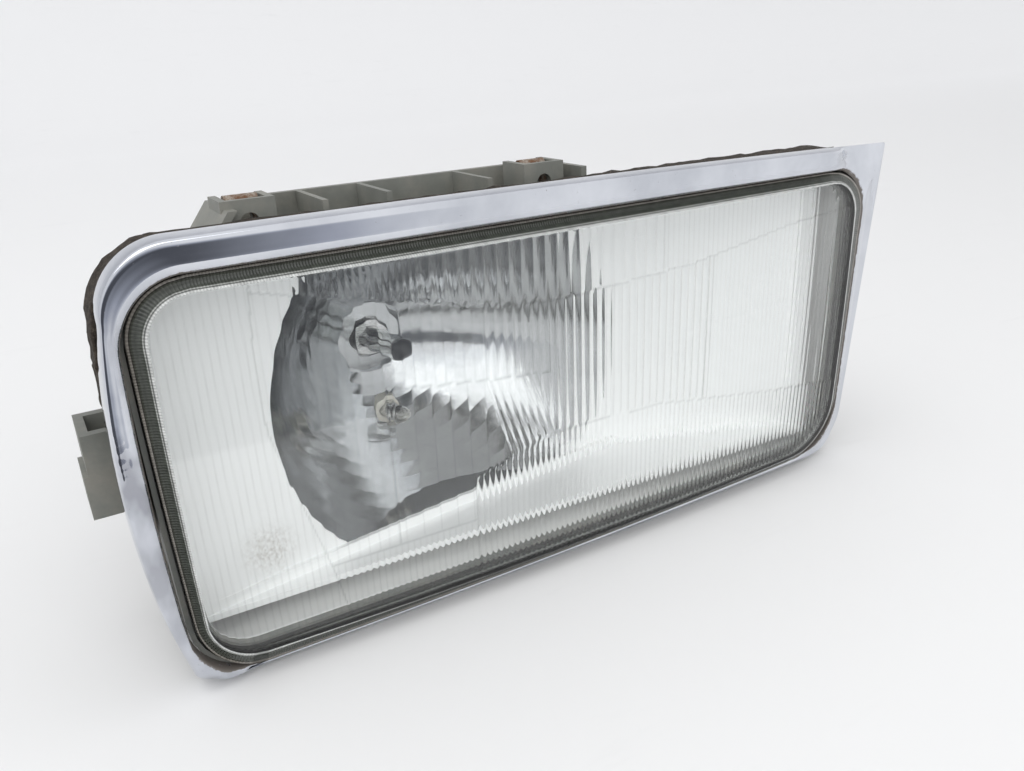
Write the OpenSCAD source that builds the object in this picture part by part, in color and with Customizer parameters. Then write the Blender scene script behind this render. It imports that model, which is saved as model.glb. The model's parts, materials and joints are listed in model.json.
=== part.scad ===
// Rectangular car headlight assembly with a bright trim frame, a fluted glass lens and a
// raked parabolic reflector that tilts on a ball pivot and two adjusting screws.
//
// Working frame: X runs right as seen from the front, Y runs back into the car, Z is up.
// The lens face is near Y = 0, its bottom edge is Z = 0 and its middle is X = 0.
// place() moves everything so that the origin is under the middle of the whole object.

/* [Lens] */
// Width of the flat lens face
lens_w = 300; // [296:1:302]
// Height of the flat lens face
lens_h = 129; // [127:1:130]
// Glass thickness
glass_t = 3.8; // [3.2:0.1:4.2]
// How far the bevelled rim stands out below the face
rim_w = 7; // [6:0.5:7]
// Crown of the face across its width
face_sag_x = 3; // [1:0.5:4]
// Crown of the face across its height
face_sag_z = 1; // [0:0.5:2]

/* [Trim] */
// Front-to-back reach of the trim crest ahead of the lens edge
crest_rise = 1.8; // [1.4:0.1:2.4]
// Reach of the flat flange at the upper inner corner
flange_top_x = 176.2; // [174:0.2:180]
// Reach of the flat flange at the lower inner corner
flange_low_x = 161; // [160:1:164]

/* [Reflector] */
// Focal length of the bowl
focal = 24; // [23:0.5:25]
// Angle between the lamp axis and the lens normal, in degrees
rake = 9; // [8:0.5:10]
// Wall of the reflector
wall_r = 2.5; // [2:0.1:2.6]

/* [Housing] */
// Wall of the housing
wall_h = 3; // [2.5:0.1:3]
// Depth of the housing's flat back behind the lens
back_y = 81; // [81:1:84]
// Diameter of the adjuster knobs
knob_d = 24; // [20:1:28]

/* [Hidden] */
$fn = 48;
fit = 0.08;

// Where the whole object's middle and underside are in the working frame.
middle_x = 1.294;
middle_y = 91.489;
base_z = -9;

// Lamp axis: the bowl's vertex, and the height of the axis.
vertex_x = -40.6;
vertex_y = 118.8;
axis_z = 66;
mouth_v = -70;
mouth_r = sqrt(4 * focal * -mouth_v);

// The three points that carry the reflector. The pitch axis runs along X through pivot and
// horizontal nut, and the yaw axis runs along Z through pivot and vertical nut.
pivot_x = 100;
pivot_y = 60;
pivot_z = 22;
vertical_z = 108;
horizontal_x = -122;

// Inside of the reflector's front box, and the flat cuts of the bowl.
floor_z = 5;
bowl_floor_z = 2;
sill_z = 9.5;
ceiling_z = 123.5;
front_y = 19;
box_left = -146;
box_right = 145;

// Housing box.
house_x = 156;
house_right = 161;
house_low = -9;
house_top = 132;
flange_y = 6.4;
seat_y = 10.5;
flange_t = 2;
// Behind its front part the housing has rounder corners.
front_part_end = 52;
back_radius = 34;

// Adjuster stack along Y.
boss_front = 74;
boss_back = 88;

// Bulb stations along the lamp axis.
neck_back = 3;
plate_t = 1;
hole_r = 10;
bulb_flange_t = 1.2;
clip_u = 19;
clip_v = neck_back + plate_t + bulb_flange_t + 0.95;

// Rear neck and cover.
neck_r = 52;
neck_end = 46;

// ---- Outline mathematics ------------------------------------------------------------

function unit(v) = v / norm(v);
function mix(a, b, t) = a * (1 - t) + b * t;
function clamp01(x) = min(1, max(0, x));

// Points of one rounded corner at c, between its neighbours before and after.
function corner_arc(before, c, after, r, n) =
    let (
        u = unit(before - c),
        v = unit(after - c),
        half = acos(u * v) / 2,
        centre = c + unit(u + v) * r / sin(half),
        first = c + u * r / tan(half) - centre,
        last = c + v * r / tan(half) - centre,
        a = atan2(first[1], first[0]),
        sweep = ((atan2(last[1], last[0]) - a + 540) % 360) - 180
    )
    [for (i = [0:n]) centre + r * [cos(a + sweep * i / n), sin(a + sweep * i / n)]];

// A closed quadrilateral outline with one radius per corner; each side gets extra points,
// closer together near the corners.
arc_steps = 7;
side_steps = 7;
function ease(t) = t * t * (3 - 2 * t);
function rounded_quad(corners, radii) =
    let (
        arcs = [for (i = [0:3])
            corner_arc(corners[(i + 3) % 4], corners[i], corners[(i + 1) % 4], radii[i], arc_steps)]
    )
    [for (i = [0:3]) each concat(
        arcs[i],
        [for (k = [1:side_steps])
            mix(arcs[i][arc_steps], arcs[(i + 1) % 4][0], ease(k / (side_steps + 1)))])];

// The sides aren't straight: the lower side bows down, the outer end bows out by left and
// the top bows up by top.
bow_low = 2.2;
bow_lens = 1;
bow_hole = 2.4;
bow_trim = 7.7;
bow_top = 1.2;
function bowed(p, left = bow_lens, top = 0) = [
    p[0] - left * clamp01((-p[0] - 90) / 50) * max(0, 1 - pow((p[1] - 55) / 68, 2)),
    p[1] + top * clamp01((p[1] - 110) / 20) * (1 - pow(p[0] / 175, 2))
        - bow_low * clamp01((20 - p[1]) / 20) * max(0, 1 - pow(p[0] / 152, 2))
];

// Corner order: bottom left, bottom right, top right, top left, as [x, z].
half_w = lens_w / 2;
face_corners = [
    [-half_w + 1.6, 2.6], [half_w - 2.7, 1.8], [half_w + 2.3, lens_h], [-half_w + 0.6, lens_h]
];
face_radii = [17, 24, 16, 14];
rim_corners = [
    [-half_w - 1.8, 2.8 - rim_w], [half_w + 4, 4 - rim_w],
    [half_w + 11.4, lens_h + 4.6], [-half_w - 5.4, lens_h + 5]
];
rim_radii = [20, 26, 21, 20];
// The trim's hole leaves a gap beside the lens at the outer end.
hole_corners = [
    [-half_w - 3.4, 2.2 - rim_w], [half_w + 4.4, 3.4 - rim_w],
    [half_w + 11.9, lens_h + 5.1], [-half_w - 7, lens_h + 5.5]
];
hole_radii = [21, 26.5, 21.5, 20.5];
trim_corners = [[-153.4, -5.6], [flange_low_x, -5.4], [flange_top_x, 142.6], [-162.6, 145.4]];
trim_radii = [2, 22, 1, 22];

function grown(corners, by) = [
    corners[0] + [-by, -by], corners[1] + [by, -by],
    corners[2] + [by, by], corners[3] + [-by, by]
];
function face_outline(by = 0) =
    [for (p = rounded_quad(grown(face_corners, by), face_radii + [for (i = [0:3]) by])) bowed(p)];
function rim_outline(by = 0) =
    [for (p = rounded_quad(grown(rim_corners, by), rim_radii + [for (i = [0:3]) by])) bowed(p)];

// Share 0 is the trim's hole, share 1 its outer edge.
function trim_outline(share) =
    let (
        corners = [for (i = [0:3]) mix(hole_corners[i], trim_corners[i], share)],
        radii = [for (i = [0:3]) mix(hole_radii[i], trim_radii[i], share)]
    )
    [for (p = rounded_quad(corners, radii))
        bowed(p, mix(bow_hole, bow_trim, share), share * bow_top)];

// ---- Solids from rings --------------------------------------------------------------

// Rings of equal length joined into one skin. A loop closes on itself; otherwise both
// ends are capped on their middle points.
module skin(rings, loop = false) {
    n = len(rings[0]);
    m = len(rings);
    points = [for (r = rings) each r];
    middle = [for (r = [rings[0], rings[m - 1]]) [for (k = [0:2]) sum(r, k) / n]];
    sides = [for (i = [0:loop ? m - 1 : m - 2], j = [0:n - 1])
        let (
            a = i * n + j,
            b = i * n + (j + 1) % n,
            c = ((i + 1) % m) * n + j,
            d = ((i + 1) % m) * n + (j + 1) % n
        )
        each [[a, d, b], [a, c, d]]];
    caps = loop ? [] : [for (j = [0:n - 1]) each [
        [j, (j + 1) % n, m * n],
        [(m - 1) * n + (j + 1) % n, (m - 1) * n + j, m * n + 1]
    ]];
    polyhedron(points = concat(points, loop ? [] : middle), faces = concat(sides, caps));
}
function sum(ring, k, i = 0) = i == len(ring) ? 0 : ring[i][k] + sum(ring, k, i + 1);
function at_depth(outline, y) = [for (p = outline) [p[0], y, p[1]]];

// ---- Placing helpers ----------------------------------------------------------------

module place() { translate([-middle_x, -middle_y, -base_z]) children(); }
// Local Y runs back along the lamp axis from the bowl's vertex, Z stays up.
module on_axis() {
    translate([vertex_x, vertex_y, axis_z]) rotate([0, 0, rake]) children();
}
module rod(r, from, to, r2 = -1) {
    translate([0, from, 0]) rotate([-90, 0, 0])
        cylinder(r1 = r, r2 = r2 < 0 ? r : r2, h = to - from);
}
module ring_rod(r, bore, from, to) {
    difference() {
        rod(r, from, to);
        rod(bore, from - 1, to + 1);
    }
}
module block(x0, x1, y0, y1, z0, z1) {
    translate([x0, y0, z0]) cube([x1 - x0, y1 - y0, z1 - z0]);
}
// An XZ rectangle with round corners, from y0 to y1.
module pad(x0, x1, z0, z1, r, y0, y1) {
    translate([0, y1, 0]) rotate([90, 0, 0]) linear_extrude(height = y1 - y0) {
        translate([x0 + r, z0]) square([x1 - x0 - 2 * r, z1 - z0]);
        translate([x0, z0 + r]) square([x1 - x0, z1 - z0 - 2 * r]);
        for (x = [x0 + r, x1 - r], z = [z0 + r, z1 - r]) translate([x, z]) circle(r = r);
    }
}
module outline_plate(outline, y0, y1) {
    translate([0, y1, 0]) rotate([90, 0, 0]) linear_extrude(height = y1 - y0) polygon(outline);
}
// A point of the lamp frame as [x, y].
function axis_point(u, v) = [
    vertex_x + u * cos(rake) - v * sin(rake),
    vertex_y + u * sin(rake) + v * cos(rake)
];

// ---- Front: lens, trim and seals ----------------------------------------------------

function crown(p) = -face_sag_x * (1 - pow(p[0] / half_w, 2))
    - face_sag_z * (1 - pow((p[1] - lens_h / 2) / (lens_h / 2), 2));
// The face outline shrunk towards its middle, on the crowned surface.
function face_ring(share, by, back) = [for (p = face_outline(by))
    let (q = [p[0] * share, (p[1] - lens_h / 2) * share + lens_h / 2])
    [q[0], crown(q) + back, q[1]]];
face_shares = [0.1, 0.35, 0.6, 0.8, 0.93, 1];
lip_w = 1.4;
rim_front = 3;
rim_back = 8.5;

module lens() {
    n = len(face_shares);
    color([0.85, 0.9, 0.9, 0.35]) skin(concat(
        [for (s = face_shares) face_ring(s, 0, 0)],
        [face_ring(1, 1.3, 0.6), at_depth(rim_outline(-lip_w), rim_front - 0.4),
            at_depth(rim_outline(), rim_front), at_depth(rim_outline(), rim_back),
            at_depth(rim_outline(-glass_t), rim_back)],
        [for (i = [n - 1:-1:0]) face_ring(face_shares[i], -2, glass_t)]
    ));
}

module lens_gasket() {
    color([0.12, 0.12, 0.12]) skin([
        at_depth(rim_outline(-0.4), rim_back), at_depth(rim_outline(-0.4), seat_y),
        at_depth(rim_outline(-4), seat_y), at_depth(rim_outline(-4), rim_back)
    ], loop = true);
}

// Trim profile as [share of the way out, depth of a full leg, depth of the flat flange at the
// inner end, depth of the thin strip under the lens].
trim_profile = [
    [0.00, 6.2, 6.2, 6.2], [0.00, 1.5, 3.6, 4.6], [0.06, 0.6, 3.2, 4.4], [0.25, -0.5, 3.8, 4.2],
    [0.48, -1.3, 4.8, 4.1], [0.68, 0.1 - crest_rise, 5.3, 4.1], [0.82, -crest_rise, 5.6, 4.1],
    [0.93, -1.2, 5.8, 4.2], [1.00, 1, 6, 4.5], [1.00, 8, 7.3, 6.2], [0.90, 8, 7.3, 6.2],
    [0.86, 1.6, 7.2, 6.2], [0.70, 0.4, 6.9, 6.2], [0.45, 1, 6.2, 6.2], [0.16, 3, 6.2, 6.2]
];
// How far a point of the trim is on the flange, and how far it is on the strip.
function on_flange(p) = ease(clamp01((p[0] - 134) / 18));
function on_strip(p) = clamp01((p[0] + 148) / 10) * clamp01((3 - p[1]) / 6);
// The pointed lower outer corner is swept back, and its skirt reaches further back too.
function tip(p) = clamp01((-p[0] - 138) / 12) * clamp01((26 - p[1]) / 30);
function trim_depth(s, p) =
    mix(mix(s[1], s[2], on_flange(p)), s[3], on_strip(p))
        + tip(p) * (1 - on_strip(p)) * (s[1] == 8 ? 4 : 9 * s[0]);

module chrome_bezel() {
    color([0.88, 0.89, 0.91]) skin([for (s = trim_profile)
        [for (p = trim_outline(s[0])) [p[0], trim_depth(s, p), p[1]]]
    ], loop = true);
}

// Height of the lens rim's upper edge at x.
function rim_top(x) = mix(rim_corners[3][1], rim_corners[2][1], (x / half_w + 1) / 2);

// Spring-steel clips that hold the trim on the housing flange.
clip_tops = [-110, -45, 30, 100];
module bezel_clips() {
    color([0.6, 0.6, 0.58]) for (x = clip_tops) translate([x, 0, rim_top(x) + flange_t + 0.1]) {
        block(-6, 6, 8, 9, 0, 5);
        block(-6, 6, 8, 15, 0, 0.8);
    }
}

// Foam strip behind the trim, from the outer end over the top to the inner end.
seal_low = 46;
seal_end = 140;
seal_growth = [[-8.7, 0], [3, 0], [-4, 10.2], [-8.6, 10.9]];
module weather_seal() {
    inner = rim_outline(flange_t + 0.2);
    outer = [for (p = rounded_quad(rim_corners + seal_growth, rim_radii + [9, 3, -9, 5]))
        bowed(p, bow_hole)];
    order = [for (i = [0:len(inner) - 1])
        if (inner[i][0] < seal_end && inner[i][1] > seal_low && outer[i][1] > seal_low) i];
    color([0.16, 0.14, 0.11]) skin([for (i = order)
        let (b = outer[i], a = mix(inner[i], b, 0.08)) [
        [a[0], 16.4, a[1]], [a[0], 24, a[1]], [b[0], 24, b[1]], [b[0], 8.6, b[1]],
        [mix(a[0], b[0], 0.7), 8.6, mix(a[1], b[1], 0.7)],
        [mix(a[0], b[0], 0.7), 16.4, mix(a[1], b[1], 0.7)]
    ]]);
}

// ---- Housing ------------------------------------------------------------------------

turret_v = -62;
module turret(shrink) {
    rod(87 - shrink, turret_v, -shrink, 60 - shrink);
    rod(neck_r + wall_h - shrink, -10, neck_end);
}
module slab(z0, z1) {
    intersection() {
        children();
        block(-400, 400, -100, 400, z0, z1);
    }
}
adjusters = [[pivot_x, vertical_z], [horizontal_x, pivot_z]];
inlet_x = 124;
inlet_z = 64;
breather_x = -128;
breather_z = 96;
rib_x = [-143, 70];

module housing_outer() {
    outline_plate(rim_outline(flange_t), flange_y, 16);
    pad(-house_x, house_right, house_low, house_top, 14, 14, front_part_end);
    pad(-house_x, house_right, house_low, house_top, back_radius, front_part_end - 1, back_y);
    slab(house_low, house_top) on_axis() turret(0);
    for (p = concat(adjusters, [[pivot_x, pivot_z]]))
        translate([p[0], 0, p[1]]) rod(9, boss_front, boss_back - 0.3);
    translate([breather_x, 0, breather_z]) rod(5, back_y - 1, back_y + 9);
    // Stiffening ribs up the flat back.
    for (x = rib_x) block(x - 1.25, x + 1.25, back_y - 1, back_y + 4, 8, house_top - 14);
}

module housing() {
    color([0.42, 0.43, 0.42]) difference() {
        housing_outer();
        outline_plate(rim_outline(0.4), flange_y - 1, seat_y);
        outline_plate(rim_outline(-5), seat_y - 1, 18);
        pad(-house_x + wall_h, house_right - wall_h, house_low + wall_h, house_top - wall_h,
            7, 14, front_part_end - wall_h);
        pad(-house_x + wall_h, house_right - wall_h, house_low + wall_h, house_top - wall_h,
            back_radius - wall_h, front_part_end - wall_h - 1, back_y - wall_h);
        slab(house_low + wall_h, house_top - wall_h) on_axis() {
            turret(wall_h);
            rod(neck_r, neck_end - 2, neck_end + 1);
        }
        for (p = adjusters) translate([p[0], 0, p[1]]) rod(4 + fit, boss_front - 1, boss_back + 1);
        translate([pivot_x, 0, pivot_z]) rod(3, boss_front - 1, boss_back + 1);
        translate([breather_x, 0, breather_z]) rod(3, back_y - 5, back_y + 10);
        block(inlet_x - 13, inlet_x + 13, back_y - 6, back_y + 1, inlet_z - 8, inlet_z + 8);
        for (x = [-19, 19]) translate([inlet_x + x, 0, inlet_z]) rod(1.5, back_y - 6, back_y + 1);
        for (p = frame_screws) translate([p[0], p[1], 0]) cylinder(r = 1.6, h = 200);
        for (z = bracket_screws)
            translate([-house_x - 1, bracket_mid_y, z]) rotate([0, 90, 0]) cylinder(r = 1.6, h = 8);
    }
}

// ---- Mounting frame on top ----------------------------------------------------------

frame_left = -127;
frame_right = 22;
frame_front = 24.3;
frame_back = 56;
frame_top = 146.5;
post_x = [-108, 6];
post_y = 40;
nut_z = 141.5;
fixing_r = 3.2;
frame_ribs = [-84, -61, -21];
frame_screws = [[-72, 46], [-41, 46], [-72, 30], [-41, 30]];

module post_outer() {
    block(-9, 9, post_y - 10, post_y + 6, house_top, 149);
}
module post_cut() {
    block(-6.5, 6.5, post_y - 7.5, post_y - 1.25, house_top + 2, 150);
    block(-6.5, 6.5, post_y + 1.25, frame_back - 3, house_top + 2, 150);
    block(-6.5, 6.5, post_y - 2, post_y + 2, 147, 150);
}
module top_frame() {
    color([0.45, 0.46, 0.44]) difference() {
        union() {
            block(frame_left, frame_right, frame_front, frame_back, house_top, house_top + 2);
            block(frame_left + 12, frame_right, frame_back - 3, frame_back, house_top, frame_top);
            for (x = frame_ribs) block(x - 1, x + 1, frame_front, frame_back, house_top, frame_top);
            block(frame_right - 2.5, frame_right, frame_front, frame_back, house_top, frame_top);
            // The outer end slopes down to the housing.
            translate([0, frame_back, 0]) rotate([90, 0, 0])
                linear_extrude(height = frame_back - frame_front)
                polygon([[frame_left, house_top], [frame_left + 3, house_top],
                    [frame_left + 14, frame_top], [frame_left + 11, frame_top]]);
            for (x = post_x) translate([x, 0, 0]) post_outer();
        }
        for (x = post_x) translate([x, 0, 0]) {
            post_cut();
            translate([0, 0, nut_z]) rod(fixing_r, post_y - 12, frame_back + 1);
        }
        for (p = frame_screws)
            translate([p[0], p[1], house_top - 1]) cylinder(r = 2.1, h = 4);
    }
}

module top_frame_screws() {
    color([0.55, 0.55, 0.52]) for (p = frame_screws) translate([p[0], p[1], 0]) {
        translate([0, 0, house_top - wall_h]) cylinder(r = 1.6, h = wall_h + 2);
        difference() {
            translate([0, 0, house_top + 2]) cylinder(r = 3.6, h = 2.4);
            translate([0, 0, house_top + 3.2]) cylinder(r = 1.6, h = 2, $fn = 6);
        }
    }
}

// Folded sheet nuts that straddle the tongue in each post.
nut_w = 5.6;
module spring_nuts() {
    color([0.5, 0.42, 0.33]) for (x = post_x) translate([x, post_y, 0]) difference() {
        union() {
            for (y = [-2.35, 1.25]) block(-nut_w, nut_w, y, y + 1.1, 136, 147.5);
            translate([-nut_w, 0, 147.2]) rotate([0, 90, 0]) difference() {
                cylinder(r = 2.35, h = 2 * nut_w);
                translate([0, 0, -1]) cylinder(r = 1.25, h = 2 * nut_w + 2);
                translate([0, -5, -1]) cube([10, 10, 2 * nut_w + 2]);
            }
            translate([0, 0, nut_z]) rod(4.6, -4.6, -2.3);
        }
        translate([0, 0, nut_z]) rod(fixing_r, -8, 8);
    }
}

// ---- Side bracket -------------------------------------------------------------------

bracket_x = -172;
bracket_mid_y = 36;
bracket_screws = [34, 94];
module side_bracket() {
    color([0.5, 0.51, 0.49]) difference() {
        union() {
            block(-house_x - 3, -house_x, 25, 47, 28, 100);
            block(bracket_x, -house_x - 2, 25, 47, 55, 84);
            block(bracket_x - 1.5, bracket_x + 1, 25, 44, 55, 70);
        }
        block(bracket_x + 3, -house_x - 5, 28.5, 43.5, 50, 90);
        for (z = bracket_screws)
            translate([-house_x - 4, bracket_mid_y, z]) rotate([0, 90, 0]) cylinder(r = 2.1, h = 5);
    }
}
module side_bracket_screws() {
    color([0.55, 0.55, 0.52]) for (z = bracket_screws)
        translate([-house_x - 3, bracket_mid_y, z]) rotate([0, 90, 0]) {
            cylinder(r = 1.6, h = 3 + wall_h);
            translate([0, 0, -2.4]) difference() {
                cylinder(r = 3.8, h = 2.4);
                translate([0, 0, -1]) cylinder(r = 1.7, h = 2.2, $fn = 6);
            }
        }
}

// ---- Reflector and what it carries --------------------------------------------------

// The bowl as a solid of revolution, grown outwards by skin_t.
bowl_steps = 18;
module bowl(skin_t) {
    rotate([-90, 0, 0]) rotate_extrude() polygon(concat(
        [[0, mouth_v - 1], [mouth_r + skin_t, mouth_v - 1]],
        [for (i = [0:bowl_steps]) let (r = mouth_r * (1 - i / bowl_steps))
            [r + skin_t * (r > 0 ? 1 : 0), -r * r / (4 * focal) + skin_t * 0.6]]
    ));
}
// Plan of the box in front of the bowl, grown by t. Its far end starts further back, so that
// it stays behind the housing's front wall when the reflector yaws.
function box_plan(t) = let (a = axis_point(-mouth_r, mouth_v), b = axis_point(mouth_r, mouth_v)) [
    [box_left - t, front_y + 9], [box_left - t, 29 + t * 0.6], a + [0, t], b + [0, t],
    [box_right + t, 27 + t], [box_right + t, front_y]
];
module front_box(t, z0, z1) {
    translate([0, 0, z0]) linear_extrude(height = z1 - z0) polygon(box_plan(t));
}
module reflector_outer() {
    slab(bowl_floor_z - wall_r, ceiling_z + wall_r) on_axis() bowl(wall_r);
    front_box(wall_r, floor_z - wall_r, ceiling_z + wall_r);
    on_axis() {
        rod(23, -9, neck_back);
        translate([0, 0, parking_w]) rod(10, -16, parking_back);
    }
    // Arms that carry the ball socket and the two nuts.
    block(pivot_x - 6, pivot_x + 6, 42, 54, pivot_z - 6, pivot_z + 6);
    translate([pivot_x, pivot_y, pivot_z]) sphere(r = 10);
    block(pivot_x - 5, pivot_x + 5, 42, 62, vertical_z + 6, vertical_z + 12);
    translate([pivot_x, 0, vertical_z]) rod(9.5, 54.5, 62);
    block(horizontal_x - 5, horizontal_x + 5, 34, 62, pivot_z - 12, pivot_z - 6);
    translate([horizontal_x, 0, pivot_z]) rod(9.5, 54.5, 62);
}
module reflector() {
    color([0.86, 0.87, 0.88]) union() {
        difference() {
            reflector_outer();
            slab(bowl_floor_z, ceiling_z) on_axis() bowl(0);
            difference() {
                translate([0, -1, 0]) front_box(0, floor_z, ceiling_z);
                on_axis() block(-150, 150, mouth_v - 3, mouth_v + 30, -axis_z - 2, sill_z - axis_z);
            }
            on_axis() {
                rod(17, -12, -1);
                rod(hole_r, -12, neck_back + 1);
                for (w = [-17, 17]) translate([0, 0, w]) rod(1.5, 0, neck_back + 1);
                translate([0, 0, parking_w]) rod(7, -30, parking_back + 1);
            }
            translate([pivot_x, pivot_y, pivot_z]) {
                rotate([-90, 0, 0]) sphere(r = 7.5 + fit);
                rod(6.4, 0, 12);
            }
            for (p = adjusters) translate([p[0], 0, p[1]]) rod(6.5, 53, 63);
        }
    }
}

// Ball pivot: a steel stud, and the nylon cup between its ball and the reflector's socket.
module pivot_stud() {
    color([0.7, 0.7, 0.7]) translate([pivot_x, 0, pivot_z]) {
        translate([0, pivot_y, 0]) sphere(r = 5);
        rod(3, pivot_y, boss_back + 6);
        rod(5, boss_front - 2.5, boss_front);
        difference() {
            rod(5.5, boss_back - 0.3, boss_back + 4.7, $fn = 6);
            rod(2.9, boss_back - 1, boss_back + 6);
        }
    }
}
module pivot_cup() {
    color([0.93, 0.93, 0.9]) translate([pivot_x, pivot_y, pivot_z]) rotate([-90, 0, 0])
        difference() {
            sphere(r = 7.5);
            sphere(r = 5 + fit);
            cylinder(r = 4.4, h = 12);
        }
}
module adjuster_nut() {
    ring_rod(6.5, 3.7, 54.5, 62);
    ring_rod(8.5, 3.7, 62, 63.2);
}
module vertical_nut() {
    color([0.93, 0.93, 0.9]) translate([pivot_x, 0, vertical_z]) adjuster_nut();
}
module horizontal_nut() {
    color([0.93, 0.93, 0.9]) translate([horizontal_x, 0, pivot_z]) adjuster_nut();
}

module seat_plate() {
    color([0.72, 0.73, 0.74]) on_axis() difference() {
        union() {
            rod(22.5, neck_back, neck_back + plate_t);
            // Two ears that hold the clip's hinge wire, and the hook at the far side.
            for (w = [-12, 10.6]) block(-clip_u - 2.6, -clip_u + 2.6, neck_back, clip_v + 2.2, w, w + 1.4);
            block(clip_u + 1.2, clip_u + 2.4, neck_back, clip_v + 2.2, -3, 3);
        }
        rod(hole_r, 0, 10);
        for (w = [-17, 17]) translate([0, 0, w]) rod(1.5, 0, 10);
        translate([-clip_u, clip_v, -20]) cylinder(r = wire_r + fit, h = 40);
    }
}
module seat_plate_screws() {
    color([0.6, 0.6, 0.58]) on_axis() for (w = [-17, 17]) translate([0, 0, w]) {
        rod(3, bulb_plane, bulb_plane + 1.8);
        rod(1.5, 0, bulb_plane);
    }
}

// ---- Bulb ---------------------------------------------------------------------------

glass_r = 5.6;
tip_v = -33;
module bulb_glass() {
    color([0.95, 0.93, 0.8, 0.5]) on_axis() difference() {
        union() {
            translate([0, tip_v + glass_r, 0]) sphere(r = glass_r);
            rod(glass_r, tip_v + glass_r, 2);
        }
        translate([0, tip_v + glass_r + 0.4, 0]) sphere(r = glass_r - 1);
        rod(glass_r - 1, tip_v + glass_r + 0.4, 0.5);
    }
}
bulb_plane = neck_back + plate_t;
module bulb_flange() {
    color([0.75, 0.75, 0.76]) on_axis() {
        rod(13, bulb_plane, bulb_plane + bulb_flange_t);
        difference() {
            rod(8.5, -3, bulb_plane);
            rod(glass_r, -5, 2);
        }
    }
}
module bulb_insulator() {
    color([0.2, 0.2, 0.2]) on_axis()
        block(-8, 8, bulb_plane + bulb_flange_t, 14, -6, 6);
}
module bulb_terminals() {
    color([0.75, 0.75, 0.76]) on_axis() for (u = [-4.5, 4.5])
        block(u - 0.4, u + 0.4, 14, 23, -3.2, 3.2);
}
filament_v = -focal;
module bulb_filament() {
    color([0.45, 0.42, 0.4]) on_axis() {
        rod(0.7, filament_v - 2.2, filament_v + 2.2);
        for (side = [-1, 1]) {
            block(min(0, side * 2.4), max(0, side * 2.4), filament_v + side * 1.8 - 0.3,
                filament_v + side * 1.8 + 0.3, -0.3, 0.3);
            translate([side * 2.4, 0, 0]) rod(0.4, filament_v + side * 1.8 - 0.4, 0.5);
        }
    }
}

// Wire bail that presses the bulb flange home; its hinge wire lies along Z.
wire_r = 0.8;
clip_reach = 2 * clip_u;
clip_half = 8.6;
module bulb_clip() {
    color([0.78, 0.78, 0.8]) on_axis() translate([-clip_u, clip_v, 0]) {
        translate([0, 0, -13.5]) cylinder(r = wire_r, h = 27);
        for (w = [-clip_half, clip_half]) translate([0, 0, w]) rotate([0, 90, 0])
            cylinder(r = wire_r, h = clip_reach);
        translate([clip_reach, 0, -clip_half]) cylinder(r = wire_r, h = 2 * clip_half);
        for (w = [-clip_half, clip_half]) translate([clip_reach, 0, w]) sphere(r = wire_r);
    }
}

// ---- Parking lamp below the bulb ----------------------------------------------------

parking_w = -34;
parking_back = -3;
module at_parking() { on_axis() translate([0, 0, parking_w]) children(); }
module parking_holder() {
    color([0.85, 0.85, 0.8]) at_parking() difference() {
        union() {
            rod(6.8, -13, parking_back + 0.3);
            rod(9.4, parking_back + 0.3, parking_back + 2.8);
            rod(6, parking_back + 2.8, parking_back + 9);
            block(-8.5, 8.5, parking_back + 2.8, parking_back + 9, -1.6, 1.6);
        }
        rod(4.7, -14, -5);
    }
}
module parking_bulb_base() {
    color([0.75, 0.75, 0.76]) at_parking() ring_rod(4.6, 3.4, -17, -5);
}
module parking_bulb_glass() {
    color([0.95, 0.95, 0.95, 0.4]) at_parking() {
        rod(3.4, -19, -9);
        translate([0, -22.5, 0]) sphere(r = 4.4);
    }
}

// ---- Adjusters ----------------------------------------------------------------------

module adjuster_screw(tip) {
    rod(3, tip, boss_front);
    rod(4, boss_front, boss_back + 9);
}
module adjuster_knob() {
    difference() {
        union() {
            rod(knob_d / 2 - 1.5, boss_back, boss_back + 12);
            for (a = [0:30:330]) rotate([0, a, 0]) translate([knob_d / 2 - 1.8, 0, 0])
                rod(1.8, boss_back + 1, boss_back + 12);
        }
        rod(4, boss_back - 1, boss_back + 9);
    }
}
module adjuster_retainer() {
    ring_rod(7, 3, boss_front - 1.6, boss_front - 0.3);
}
module at_vertical() { translate([pivot_x, 0, vertical_z]) children(); }
module at_horizontal() { translate([horizontal_x, 0, pivot_z]) children(); }
module vertical_screw() { color([0.7, 0.7, 0.7]) at_vertical() adjuster_screw(53.2); }
module vertical_knob() { color([0.9, 0.9, 0.87]) at_vertical() adjuster_knob(); }
module vertical_retainer() { color([0.6, 0.6, 0.6]) at_vertical() adjuster_retainer(); }
module horizontal_screw() { color([0.7, 0.7, 0.7]) at_horizontal() adjuster_screw(46); }
module horizontal_knob() { color([0.9, 0.9, 0.87]) at_horizontal() adjuster_knob(); }
module horizontal_retainer() { color([0.6, 0.6, 0.6]) at_horizontal() adjuster_retainer(); }

// ---- Rear cover ---------------------------------------------------------------------

cover_r = 58.5;
cover_start = neck_end - 9;
cover_face = neck_end + 8;
module rear_cover() {
    color([0.12, 0.12, 0.12]) on_axis() difference() {
        union() {
            rod(cover_r, cover_start, cover_face);
            block(-38, 38, cover_face - 1, cover_face + 9, -4, 4);
            for (a = [0:15:345]) rotate([0, a, 0]) translate([cover_r - 0.4, 0, 0])
                rod(1.6, cover_start + 2, cover_face - 1);
        }
        rod(neck_r + wall_h + fit, cover_start - 1, neck_end + 0.3);
        rod(neck_r - 3, neck_end, cover_face - 2.5);
    }
}
module cover_seal() {
    color([0.08, 0.08, 0.08]) on_axis() ring_rod(neck_r - 0.3, neck_r - 3, neck_end - 4, neck_end + 0.3);
}

// ---- Small pieces on the back -------------------------------------------------------

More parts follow.
